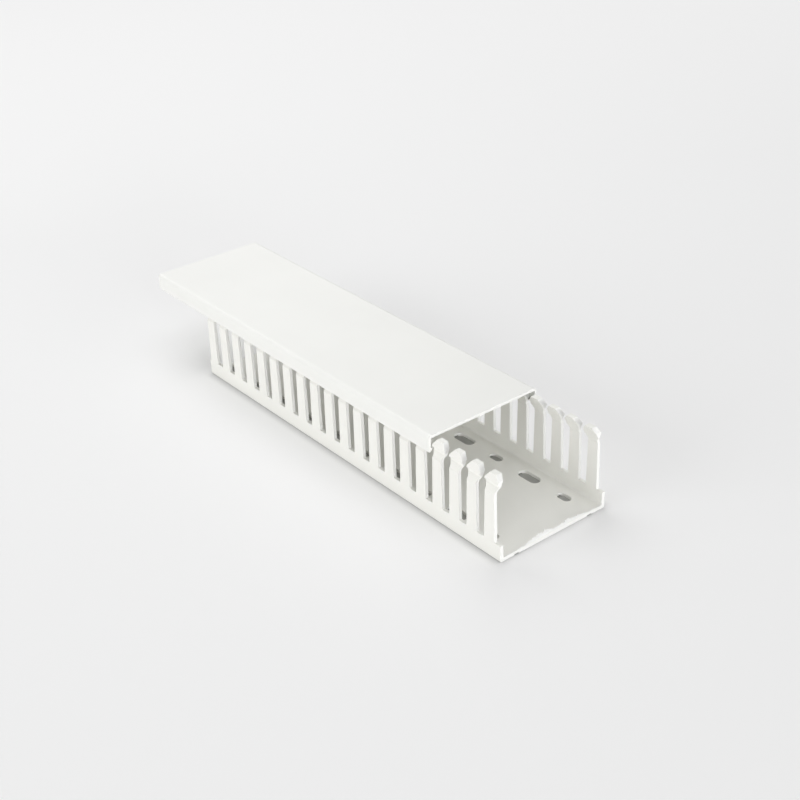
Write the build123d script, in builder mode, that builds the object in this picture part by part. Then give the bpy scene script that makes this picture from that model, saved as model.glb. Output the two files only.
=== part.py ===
from build123d import *
from math import radians, tan
import os

# Slotted wire duct: an extruded U-channel whose two walls are punched into headed
# fingers, and an extruded cover whose hooked flanges snap round the finger heads.
# X runs along the duct, Y across it and Z up; the origin is the middle of the underside.

# Overall sizes, millimetres
duct_length = 250.0
duct_width = 70.0
duct_height = 47.0
wall_thickness = 1.8
floor_thickness = 1.8

# Fingers, punched at one pitch and sawn off wherever the length ends
slot_pitch = 12.5
slot_width = 5.2
slot_top_width = 6.2
slot_floor = 9.2
end_stub = 4.1
head_gap = 3.6
shoulder_height = 2.2
head_depth = 8.0
crown_width = 4.4
crown_depth = 2.8

# Cover, and how it grips the heads
cover_length = 250.0
cover_overhang = 50.0
cover_thickness = 1.5
flange_thickness = 1.2
flange_drop = 9.0
flange_proud = 0.5
cover_edge_radius = 2.0
hook_bite = 0.7
hook_height = 1.9
hook_land = 0.5
snap_clearance = 0.3
bead_land = 0.6
lead_in = 1.4
bend_gap = 2.2
outer_lean = 30.0
inner_lean = 22.0

# Fixing holes in the floor, small and large by turns, in two rows
row_spacing = 49.0
hole_step = 25.0
first_hole = 17.5
small_length = 8.4
small_width = 5.0
large_length = 14.0
large_width = 6.5
guide_width = 3.0
guide_depth = 0.5

# Roundings left by the extrusion die and the punch
root_radius = 1.2
heel_radius = 0.8
punch_radius = 0.4
head_radius = 0.8

# Where the snap faces lie, counted from the duct's middle plane outwards
half_width = duct_width / 2
flange_face = half_width + flange_proud
flange_inner = flange_face - flange_thickness
bead_face = flange_inner - snap_clearance
hook_tip = bead_face - hook_bite
groove_face = hook_tip - snap_clearance
wall_inner = half_width - wall_thickness
step_in = half_width - groove_face

# Heights of the same faces
cover_underside = duct_height - cover_thickness
head_top = cover_underside - snap_clearance
flange_bottom = duct_height - flange_drop
hook_top = flange_bottom + hook_height
groove_top = hook_top + snap_clearance
bead_bottom = groove_top + bead_face - groove_face
bead_top = bead_bottom + bead_land
bend_height = flange_bottom - bend_gap
groove_bottom = bend_height + step_in / tan(radians(outer_lean))
head_inner = wall_inner - (head_top - bend_height) * tan(radians(inner_lean))

os.makedirs("parts", exist_ok=True)

# The gap between two fingers: a slot that widens slightly upwards, closed in by the heads'
# shoulders to a throat and flared out again between the crowned tops.
half_slot = slot_width / 2
half_slot_top = slot_top_width / 2
half_throat = head_gap / 2
half_mouth = (slot_pitch - crown_width) / 2
shoulder_top = head_top - head_depth + shoulder_height
with BuildSketch() as finger_gap:
    with BuildLine():
        Polyline(
            (0, slot_floor),
            (half_slot, slot_floor),
            (half_slot_top, head_top - head_depth),
            (half_throat, shoulder_top),
            (half_throat, head_top - crown_depth),
            (half_mouth, head_top),
            (half_mouth, duct_height),
            (0, duct_height),
        )
        mirror(about=Plane.YZ)
    make_face()
    corners = finger_gap.vertices()
    punched = corners.filter_by_position(Axis.Y, slot_floor - 0.1, slot_floor + 0.1)
    headed = corners.filter_by_position(Axis.Y, slot_floor + 0.1, head_top - 0.1)
    fillet(punched.filter_by(lambda corner: abs(corner.X) > half_throat / 2), punch_radius)
    fillet(headed, head_radius)

gap_count = int(duct_length / slot_pitch) + 2
last_gap = duct_length / 2 - end_stub + half_slot
gap_places = [(last_gap - slot_pitch * number, 0) for number in range(gap_count)]

hole_count = int((duct_length - first_hole - large_length / 2) / hole_step) + 1
hole_places = [duct_length / 2 - first_hole - hole_step * number for number in range(hole_count)]
rows = (-row_spacing / 2, row_spacing / 2)
small_places = [(along, row) for along in hole_places[0::2] for row in rows]
large_places = [(along, row) for along in hole_places[1::2] for row in rows]

with BuildPart() as slotted_base:
    with BuildSketch(Plane.YZ.offset(-duct_length / 2)) as channel:
        with BuildLine():
            Polyline(
                (0, 0),
                (half_width, 0),
                (half_width, bend_height),
                (groove_face, groove_bottom),
                (groove_face, groove_top),
                (bead_face, bead_bottom),
                (bead_face, bead_top),
                (bead_face - lead_in, head_top),
                (head_inner, head_top),
                (wall_inner, bend_height),
                (wall_inner, floor_thickness),
                (0, floor_thickness),
            )
            mirror(about=Plane.YZ)
        make_face()
        outline = channel.vertices()
        low = outline.filter_by_position(Axis.Y, -0.1, 0.1)
        fillet(low.filter_by(lambda corner: abs(corner.X) > 1), heel_radius)
        inside = channel.vertices().filter_by_position(Axis.Y, floor_thickness - 0.1, floor_thickness + 0.1)
        fillet(inside.filter_by(lambda corner: abs(corner.X) > 1), root_radius)
        with Locations((rows[0], 0), (rows[1], 0)):
            Rectangle(guide_width, 2 * guide_depth, mode=Mode.SUBTRACT)
    extrude(amount=duct_length)
    with BuildSketch(Plane.XZ):
        with Locations(*gap_places):
            add(finger_gap.sketch)
    extrude(amount=duct_width, both=True, mode=Mode.SUBTRACT)
    with BuildSketch(Plane.XY):
        with Locations(*small_places):
            SlotOverall(small_length, small_width)
        with Locations(*large_places):
            SlotOverall(large_length, large_width)
    extrude(amount=2 * floor_thickness, mode=Mode.SUBTRACT)
    # Where the saw took a finger's neck away, the sliver of its head fell off too.
    whole_duct = slotted_base.solids().sort_by(SortBy.VOLUME)[-1]
    add(whole_duct, mode=Mode.REPLACE)

with BuildPart() as cover:
    with BuildSketch(Plane.YZ.offset(-duct_length / 2 - cover_overhang)) as lid:
        with BuildLine():
            Polyline(
                (0, duct_height),
                (flange_face, duct_height),
                (flange_face, flange_bottom),
                (hook_tip + hook_height - hook_land, flange_bottom),
                (hook_tip, hook_top - hook_land),
                (hook_tip, hook_top),
                (flange_inner, hook_top),
                (flange_inner, cover_underside),
                (0, cover_underside),
            )
            mirror(about=Plane.YZ)
        make_face()
        top = lid.vertices().filter_by_position(Axis.Y, duct_height - 0.1, duct_height + 0.1)
        fillet(top.filter_by(lambda corner: abs(corner.X) > 1), cover_edge_radius)
    extrude(amount=cover_length)

slotted_base.part.label = "slotted_base"
cover.part.label = "cover"
export_step(slotted_base.part, "parts/slotted_base.step")
export_step(cover.part, "parts/cover.step")
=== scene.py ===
import math
import random

import bmesh
import bpy
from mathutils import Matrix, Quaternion, Vector


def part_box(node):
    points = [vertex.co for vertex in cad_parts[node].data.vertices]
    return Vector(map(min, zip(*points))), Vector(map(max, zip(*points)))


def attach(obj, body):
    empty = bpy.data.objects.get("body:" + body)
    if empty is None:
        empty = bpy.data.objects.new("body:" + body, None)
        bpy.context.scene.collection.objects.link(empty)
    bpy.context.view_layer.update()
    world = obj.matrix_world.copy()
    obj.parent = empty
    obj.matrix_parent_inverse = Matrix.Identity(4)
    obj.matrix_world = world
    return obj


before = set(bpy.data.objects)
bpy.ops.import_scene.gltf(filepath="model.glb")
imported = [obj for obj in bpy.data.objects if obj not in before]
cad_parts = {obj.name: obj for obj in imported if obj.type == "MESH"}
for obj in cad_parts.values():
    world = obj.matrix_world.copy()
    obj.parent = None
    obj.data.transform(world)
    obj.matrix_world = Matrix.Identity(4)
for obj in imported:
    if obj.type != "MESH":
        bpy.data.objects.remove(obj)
scene = bpy.context.scene
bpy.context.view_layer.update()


# The camera stands above the open end of the duct and to its left, and looks down along it.
# Its place was worked out from the corners, the slots and the edges of the cover.
AZIMUTH_DEG = 51.713
ELEVATION_DEG = 29.866
ROLL_DEG = -1.919
DISTANCE = 0.7541
FOCUS_IN_PIXELS = 1421.6
PICTURE_PIXELS = 800
SENSOR_MM = 36.0
AIM = Vector((0.0085, 0.0002, 0.025))

azimuth, elevation = math.radians(AZIMUTH_DEG), math.radians(ELEVATION_DEG)
towards_camera = Vector((
    math.sin(azimuth) * math.cos(elevation),
    -math.cos(azimuth) * math.cos(elevation),
    math.sin(elevation),
))
camera = bpy.data.objects.new("camera", bpy.data.cameras.new("camera"))
camera.data.sensor_width = SENSOR_MM
camera.data.lens = SENSOR_MM * FOCUS_IN_PIXELS / PICTURE_PIXELS
camera.location = AIM + towards_camera * DISTANCE
level_camera = towards_camera.to_track_quat("Z", "Y")
camera.rotation_euler = (level_camera @ Quaternion((0, 0, 1), math.radians(ROLL_DEG))).to_euler()
scene.collection.objects.link(camera)
scene.camera = camera


# The studio is a white tent. Broad lamps hang overhead and behind the cover's far end, one stands
# low before the near wall, and two low ones light the sawn and the punched faces.
TENT_WHITE = (1.0, 1.0, 1.0, 1.0)
TENT_LEVEL = 0.25
SEEN_LEVEL = 0.87
LAMP_AIM = Vector((0, 0, 0.02))


def white_tent():
    """Cloth that lights the duct dimly and looks white where it is seen or mirrored."""
    world = bpy.data.worlds.new("white_tent")
    world.use_nodes = True
    nodes, links = world.node_tree.nodes, world.node_tree.links
    lighting = nodes["Background"]
    lighting.inputs["Color"].default_value = TENT_WHITE
    lighting.inputs["Strength"].default_value = TENT_LEVEL
    backdrop = nodes.new("ShaderNodeBackground")
    backdrop.inputs["Color"].default_value = TENT_WHITE
    backdrop.inputs["Strength"].default_value = SEEN_LEVEL

    ray = nodes.new("ShaderNodeLightPath")
    mirrored = nodes.new("ShaderNodeMath")
    mirrored.operation = "MAXIMUM"
    links.new(ray.outputs["Is Glossy Ray"], mirrored.inputs[0])
    links.new(ray.outputs["Is Transmission Ray"], mirrored.inputs[1])
    seen = nodes.new("ShaderNodeMath")
    seen.operation = "MAXIMUM"
    links.new(ray.outputs["Is Camera Ray"], seen.inputs[0])
    links.new(mirrored.outputs["Value"], seen.inputs[1])
    cloth = nodes.new("ShaderNodeMixShader")
    links.new(seen.outputs["Value"], cloth.inputs["Fac"])
    links.new(lighting.outputs["Background"], cloth.inputs[1])
    links.new(backdrop.outputs["Background"], cloth.inputs[2])
    links.new(cloth.outputs["Shader"], nodes["World Output"].inputs["Surface"])
    return world


def soft_lamp(name, place, size, watts, mirrored=True):
    """A square soft lamp turned to the duct, which glossy plastic mirrors or not."""
    data = bpy.data.lights.new(name, "AREA")
    data.size = size
    data.energy = watts
    lamp = bpy.data.objects.new(name, data)
    lamp.location = place
    lamp.rotation_euler = (Vector(place) - LAMP_AIM).to_track_quat("Z", "Y").to_euler()
    lamp.visible_glossy = mirrored
    scene.collection.objects.link(lamp)


scene.view_settings.view_transform = "Standard"
scene.world = white_tent()
soft_lamp("overhead_lamp", (0.2, 0.2, 2.9), 2.6, 22.0)
soft_lamp("back_lamp", (-2.0, 0.6, 2.1), 2.4, 37.0)
# Mirrored low lamps would burn out the cover's top in a flat view against them.
soft_lamp("front_lamp", (-0.6, -2.9, 0.7), 2.4, 52.0, mirrored=False)
soft_lamp("open_end_lamp", (2.9, 0.25, 0.35), 0.8, 22.0, mirrored=False)
soft_lamp("slot_lamp", (2.87, -0.82, 0.35), 0.8, 27.0, mirrored=False)


# The duct stands on a table of pale matt paper. Its colour holds painted shade: greyer right beside
# the duct as a painted contact shadow, and dark below it as painted shade that the fixing holes
# show. Far away it runs up into the tent.
TABLE_SIZE = 30.0
TABLE_WHITE = (0.945, 0.945, 0.945, 1.0)
# Painted shade colours: the contact shadow beside the duct and the dark shade below it.
BESIDE_PAINTED_SHADE = (0.53, 0.53, 0.53, 1.0)
BELOW_PAINTED_SHADE = (0.42, 0.42, 0.4, 1.0)
PAPER_ROUGHNESS = 0.8
PAINTED_SHADE_REACH = 0.006
PAINTED_SHADE_FULL, PAINTED_SHADE_NONE = 0.35, 0.95
BELOW_INSET = 0.0015
HAZE_START, HAZE_FULL = 0.5, 1.3
duct_low, duct_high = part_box("slotted_base")


def table_paper():
    """Matt paper with painted contact shade beside the duct, painted shade below it, and the haze
    far away.
    """
    material = bpy.data.materials.new("table_paper")
    material.use_nodes = True
    nodes, links = material.node_tree.nodes, material.node_tree.links
    paper = nodes["Principled BSDF"]
    paper.inputs["Roughness"].default_value = PAPER_ROUGHNESS
    # Painted contact shadow: ambient occlusion greys the paper where the duct crowds it.
    occlusion_shade = nodes.new("ShaderNodeAmbientOcclusion")
    occlusion_shade.samples = 12
    occlusion_shade.inputs["Distance"].default_value = PAINTED_SHADE_REACH
    painted_contact_shade = nodes.new("ShaderNodeValToRGB")
    painted_contact_shade.color_ramp.elements[0].position = PAINTED_SHADE_FULL
    painted_contact_shade.color_ramp.elements[0].color = BESIDE_PAINTED_SHADE
    painted_contact_shade.color_ramp.elements[1].position = PAINTED_SHADE_NONE
    painted_contact_shade.color_ramp.elements[1].color = TABLE_WHITE
    links.new(occlusion_shade.outputs["AO"], painted_contact_shade.inputs["Fac"])

    # The painted shade below the duct fills its outline along X and along Y.
    place = nodes.new("ShaderNodeTexCoord")
    split = nodes.new("ShaderNodeSeparateXYZ")
    links.new(place.outputs["Object"], split.inputs["Vector"])
    below = nodes.new("ShaderNodeMath")
    below.operation = "MULTIPLY"
    for number, (axis, half_size) in enumerate((("X", duct_high.x), ("Y", duct_high.y))):
        inside = nodes.new("ShaderNodeMath")
        inside.operation = "COMPARE"
        inside.inputs[1].default_value = 0.0
        inside.inputs[2].default_value = half_size - BELOW_INSET
        links.new(split.outputs[axis], inside.inputs[0])
        links.new(inside.outputs["Value"], below.inputs[number])
    # Painted shade: the paper below the duct is made dark, so the fixing holes show shade.
    paper_with_painted_shade = nodes.new("ShaderNodeMix")
    paper_with_painted_shade.data_type = "RGBA"
    links.new(below.outputs["Value"], paper_with_painted_shade.inputs["Factor"])
    links.new(painted_contact_shade.outputs["Color"], paper_with_painted_shade.inputs["A"])
    paper_with_painted_shade.inputs["B"].default_value = BELOW_PAINTED_SHADE
    links.new(paper_with_painted_shade.outputs["Result"], paper.inputs["Base Color"])

    # The haze takes the horizon away.
    away = nodes.new("ShaderNodeVectorMath")
    away.operation = "LENGTH"
    links.new(place.outputs["Object"], away.inputs[0])
    fade = nodes.new("ShaderNodeMapRange")
    fade.inputs["From Min"].default_value = HAZE_START
    fade.inputs["From Max"].default_value = HAZE_FULL
    links.new(away.outputs["Value"], fade.inputs["Value"])
    ray = nodes.new("ShaderNodeLightPath")
    share = nodes.new("ShaderNodeMath")
    share.operation = "MULTIPLY"
    links.new(fade.outputs["Result"], share.inputs[0])
    links.new(ray.outputs["Is Camera Ray"], share.inputs[1])
    haze = nodes.new("ShaderNodeEmission")
    haze.inputs["Color"].default_value = TENT_WHITE
    haze.inputs["Strength"].default_value = SEEN_LEVEL
    blend = nodes.new("ShaderNodeMixShader")
    links.new(share.outputs["Value"], blend.inputs["Fac"])
    links.new(paper.outputs["BSDF"], blend.inputs[1])
    links.new(haze.outputs["Emission"], blend.inputs[2])
    links.new(blend.outputs["Shader"], nodes["Material Output"].inputs["Surface"])
    return material


bpy.ops.mesh.primitive_plane_add(size=TABLE_SIZE, location=(0, 0, 0))
table = bpy.context.object
table.name = "table"
table.data.materials.append(table_paper())


# The duct is one extruded U of off-white rigid PVC. Its walls are punched into fingers, which
# leaves duller and whiter cut faces, and both ends are sawn.
DUCT_WHITE = (0.895, 0.892, 0.848, 1.0)
CUT_WHITE = (0.92, 0.92, 0.9, 1.0)
SHEEN_ROUGHNESS = (0.34, 0.46)
CUT_ROUGHNESS = 0.62
CUT_FACING = (0.55, 0.75)
CLOUD_SCALE = 22.0
CLOUD_SHADE = 0.975
DRAW_LINE_SCALE = (12.0, 1100.0, 1100.0)
TOOTH_MARK_SCALE = 2600.0
RELIEF_STRENGTH = 0.35
RELIEF_DEPTH = 0.00003
EDGE_ROUNDING = 0.00016
SHARP_EDGE_DEG = 40


def extruded_pvc(name, body_colour, cut_colour):
    """Rigid PVC: fine draw lines along X on the extruded faces, and rough, paler cut faces."""
    material = bpy.data.materials.new(name)
    material.use_nodes = True
    nodes, links = material.node_tree.nodes, material.node_tree.links
    plastic = nodes["Principled BSDF"]
    place = nodes.new("ShaderNodeTexCoord")

    # Faces that look along X are cut: everything the die drew runs along X.
    facing = nodes.new("ShaderNodeSeparateXYZ")
    along = nodes.new("ShaderNodeMath")
    along.operation = "ABSOLUTE"
    cut = nodes.new("ShaderNodeMapRange")
    cut.inputs["From Min"].default_value = CUT_FACING[0]
    cut.inputs["From Max"].default_value = CUT_FACING[1]
    links.new(place.outputs["Normal"], facing.inputs["Vector"])
    links.new(facing.outputs["X"], along.inputs[0])
    links.new(along.outputs["Value"], cut.inputs["Value"])

    # Slow clouds in the colour, as in any filled plastic.
    cloud = nodes.new("ShaderNodeTexNoise")
    cloud.inputs["Scale"].default_value = CLOUD_SCALE
    cloud.inputs["Detail"].default_value = 4.0
    tint = nodes.new("ShaderNodeValToRGB")
    tint.color_ramp.elements[0].position = 0.3
    tint.color_ramp.elements[0].color = tuple(CLOUD_SHADE * c for c in body_colour[:3]) + (1.0,)
    tint.color_ramp.elements[1].position = 0.7
    tint.color_ramp.elements[1].color = body_colour
    links.new(place.outputs["Object"], cloud.inputs["Vector"])
    links.new(cloud.outputs["Fac"], tint.inputs["Fac"])
    colour = nodes.new("ShaderNodeMix")
    colour.data_type = "RGBA"
    links.new(cut.outputs["Result"], colour.inputs["Factor"])
    links.new(tint.outputs["Color"], colour.inputs["A"])
    colour.inputs["B"].default_value = cut_colour
    links.new(colour.outputs["Result"], plastic.inputs["Base Color"])

    # Draw lines left by the die: long along X, under a millimetre apart across it.
    stretch = nodes.new("ShaderNodeMapping")
    stretch.inputs["Scale"].default_value = DRAW_LINE_SCALE
    lines = nodes.new("ShaderNodeTexNoise")
    lines.inputs["Scale"].default_value = 1.0
    lines.inputs["Detail"].default_value = 3.0
    links.new(place.outputs["Object"], stretch.inputs["Vector"])
    links.new(stretch.outputs["Vector"], lines.inputs["Vector"])
    sheen = nodes.new("ShaderNodeMapRange")
    sheen.inputs["To Min"].default_value = SHEEN_ROUGHNESS[0]
    sheen.inputs["To Max"].default_value = SHEEN_ROUGHNESS[1]
    links.new(lines.outputs["Fac"], sheen.inputs["Value"])
    gloss = nodes.new("ShaderNodeMix")
    gloss.data_type = "FLOAT"
    links.new(cut.outputs["Result"], gloss.inputs["Factor"])
    links.new(sheen.outputs["Result"], gloss.inputs["A"])
    gloss.inputs["B"].default_value = CUT_ROUGHNESS
    links.new(gloss.outputs["Result"], plastic.inputs["Roughness"])

    # Tooth marks on the cut faces, finer than the draw lines.
    teeth = nodes.new("ShaderNodeTexNoise")
    teeth.inputs["Scale"].default_value = TOOTH_MARK_SCALE
    teeth.inputs["Detail"].default_value = 2.0
    links.new(place.outputs["Object"], teeth.inputs["Vector"])
    relief = nodes.new("ShaderNodeMix")
    relief.data_type = "FLOAT"
    links.new(cut.outputs["Result"], relief.inputs["Factor"])
    links.new(lines.outputs["Fac"], relief.inputs["A"])
    links.new(teeth.outputs["Fac"], relief.inputs["B"])
    bump = nodes.new("ShaderNodeBump")
    bump.inputs["Strength"].default_value = RELIEF_STRENGTH
    bump.inputs["Distance"].default_value = RELIEF_DEPTH
    links.new(relief.outputs["Result"], bump.inputs["Height"])
    links.new(bump.outputs["Normal"], plastic.inputs["Normal"])
    return material


def finish_extrusion(node, material):
    """Gives a piece its plastic, and takes the knife edge off its sharp corners."""
    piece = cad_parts[node]
    piece.data.materials.clear()
    piece.data.materials.append(material)
    rounding = piece.modifiers.new("soft_edges", "BEVEL")
    rounding.width = EDGE_ROUNDING
    rounding.segments = 2
    rounding.limit_method = "ANGLE"
    rounding.angle_limit = math.radians(SHARP_EDGE_DEG)


finish_extrusion("slotted_base", extruded_pvc("duct_pvc", DUCT_WHITE, CUT_WHITE))


# The saw left torn, whitened ridges of plastic on the duct's ends. The highest runs along the
# floor's edge at the open end and curls back over the floor.
BURR_WHITE = (0.87, 0.87, 0.855, 1.0)
WALL_THICKNESS = 0.0018
SLOT_FOOT = 0.0092
RIDGE_INSET = 0.00005
RIDGE_SINK = 0.0002
TOOTH_STEP = 0.00028
TEETH_IN_CLUMP = 6
FLOOR_RIDGE_MM = (
    0.3, 0.5, 0.5, 0.8, 1.7, 2.5, 2.6, 1.8, 1.6, 2.0, 2.1, 1.1, 0.7, 0.6, 0.3,
)
FAR_RIDGE_MM = (0.3, 0.7, 0.4, 0.8, 0.3)
NEAR_STUB_MM = (1.2, 1.3, 0.9, 0.4)
FAR_STUB_MM = (0.6, 0.3, 0.3)

# Round a ridge, each corner lies a share of its height, and some metres more, along its rise and
# then along its lean.
RIDGE_OUTLINE = (
    ((0.0, -0.0003), (0.0, 0.0)),
    ((0.55, 0.0), (0.15, 0.0)),
    ((1.0, 0.0), (0.6, 0.0)),
    ((0.5, 0.0), (0.75, 0.0002)),
    ((0.0, -0.0003), (0.5, 0.0004)),
)


def torn_ridge(start, end, heights_mm, rise, lean, seed):
    """Points and faces of a ragged ridge that stands up along rise and curls over along lean."""
    start, end, rise, lean = Vector(start), Vector(end), Vector(rise), Vector(lean)
    chance = random.Random(seed)
    steps = max(4, round((end - start).length / TOOTH_STEP))
    sides = len(RIDGE_OUTLINE)
    points, faces = [], []
    clump = 1.0
    for step in range(steps + 1):
        place = step / steps * (len(heights_mm) - 1)
        before = min(int(place), len(heights_mm) - 2)
        even = heights_mm[before] + (heights_mm[before + 1] - heights_mm[before]) * (place - before)
        if step % TEETH_IN_CLUMP == 0:
            clump = chance.uniform(0.7, 1.1)
        tall = 0.001 * even * clump * chance.uniform(0.8, 1.1)
        foot = start.lerp(end, step / steps)
        for (up, more_up), (over, more_over) in RIDGE_OUTLINE:
            points.append(foot + (up * tall + more_up) * rise + (over * tall + more_over) * lean)
    for step in range(steps):
        for side in range(sides):
            here, beside = sides * step + side, sides * step + (side + 1) % sides
            faces.append((here, beside, beside + sides, here + sides))
    faces.append(tuple(reversed(range(sides))))
    faces.append(tuple(sides * steps + side for side in range(sides)))
    return points, faces


def join_ridges(name, ridges, material, body):
    """One mesh of many ridges, which rides with the piece that it is torn from."""
    points, faces = [], []
    for ridge_points, ridge_faces in ridges:
        first = len(points)
        points += ridge_points
        faces += [tuple(first + corner for corner in face) for face in ridge_faces]
    mesh = bpy.data.meshes.new(name)
    mesh.from_pydata([tuple(point) for point in points], [], faces)
    shape = bmesh.new()
    shape.from_mesh(mesh)
    bmesh.ops.recalc_face_normals(shape, faces=shape.faces)
    shape.to_mesh(mesh)
    shape.free()
    mesh.materials.append(material)
    piece = bpy.data.objects.new(name, mesh)
    scene.collection.objects.link(piece)
    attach(piece, body)


torn_pvc = extruded_pvc("torn_pvc", BURR_WHITE, BURR_WHITE)
open_end, far_end = duct_high.x - RIDGE_INSET, duct_low.x + RIDGE_INSET
floor_line = WALL_THICKNESS - RIDGE_SINK
wall_line = duct_high.y - WALL_THICKNESS + RIDGE_SINK
floor_reach = wall_line + RIDGE_SINK
ridges = [
    torn_ridge((open_end, -floor_reach, floor_line), (open_end, floor_reach, floor_line),
               FLOOR_RIDGE_MM, (0, 0, 1), (-1, 0, 0), 1),
    torn_ridge((open_end, -wall_line, floor_line), (open_end, -wall_line, SLOT_FOOT - 0.0003),
               NEAR_STUB_MM, (0, 1, 0), (-1, 0, 0), 2),
    torn_ridge((open_end, wall_line, floor_line), (open_end, wall_line, SLOT_FOOT - 0.0004),
               FAR_STUB_MM, (0, -1, 0), (-1, 0, 0), 3),
    torn_ridge((far_end, -floor_reach, floor_line), (far_end, floor_reach, floor_line),
               FAR_RIDGE_MM, (0, 0, 1), (1, 0, 0), 4),
]

# The punch left a short whisker under each slot, on the outside of both walls.
SLOT_PITCH = 0.0125
OPEN_NOTCH = 0.1235
SLOTS_PER_WALL = 19
WHISKER_HALF = 0.0019
WHISKER_FOOT_MM = 0.1
WHISKER_MM = (0.12, 0.42)
whisker_line = duct_high.y - RIDGE_INSET
whisker_height = SLOT_FOOT - 0.0001
whisker_chance = random.Random(5)
for number in range(SLOTS_PER_WALL):
    along = OPEN_NOTCH - SLOT_PITCH * (number + 1)
    for side in (-1, 1):
        middle_mm = whisker_chance.uniform(*WHISKER_MM)
        ridges.append(torn_ridge(
            (along - WHISKER_HALF, side * whisker_line, whisker_height),
            (along + WHISKER_HALF, side * whisker_line, whisker_height),
            (WHISKER_FOOT_MM, middle_mm, WHISKER_FOOT_MM),
            (0, side, 0), (0, 0, -1), 10 + 2 * number + side,
        ))
join_ridges("duct_burrs", ridges, torn_pvc, "duct")


# The cover is a second extrusion of the same PVC, not punched anywhere. Its hooked flanges grip
# the finger heads, and it is slid 50 mm past the duct's far end.
COVER_WHITE = (0.89, 0.893, 0.862, 1.0)
finish_extrusion("cover", extruded_pvc("cover_pvc", COVER_WHITE, CUT_WHITE))

# Its sawn ends carry a thin whitened fringe under the top and below both flanges.
COVER_THICKNESS = 0.0015
FRINGE_SINK = 0.0001
TOP_FRINGE_HALF = 0.027
FLANGE_FRINGE_WIDTH = 0.0008
TOP_FRINGE_MM = (0.3, 0.5, 0.25, 0.4, 0.2, 0.45, 0.3)
FLANGE_FRINGE_MM = (0.5, 0.8, 0.5)
cover_low, cover_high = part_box("cover")
top_line = cover_high.z - COVER_THICKNESS + FRINGE_SINK
flange_line = cover_low.z + FRINGE_SINK
flange_outside = cover_high.y - FRINGE_SINK
flange_inside = flange_outside - FLANGE_FRINGE_WIDTH
fringes = []
for cover_end, inwards in ((cover_high.x - RIDGE_INSET, -1), (cover_low.x + RIDGE_INSET, 1)):
    fringes.append(torn_ridge(
        (cover_end, -TOP_FRINGE_HALF, top_line), (cover_end, TOP_FRINGE_HALF, top_line),
        TOP_FRINGE_MM, (0, 0, -1), (inwards, 0, 0), 60 + inwards,
    ))
    for side in (-1, 1):
        fringes.append(torn_ridge(
            (cover_end, side * flange_outside, flange_line),
            (cover_end, side * flange_inside, flange_line),
            FLANGE_FRINGE_MM, (0, 0, -1), (inwards, 0, 0), 70 + 2 * inwards + side,
        ))
join_ridges("cover_burrs", fringes, torn_pvc, "cover")
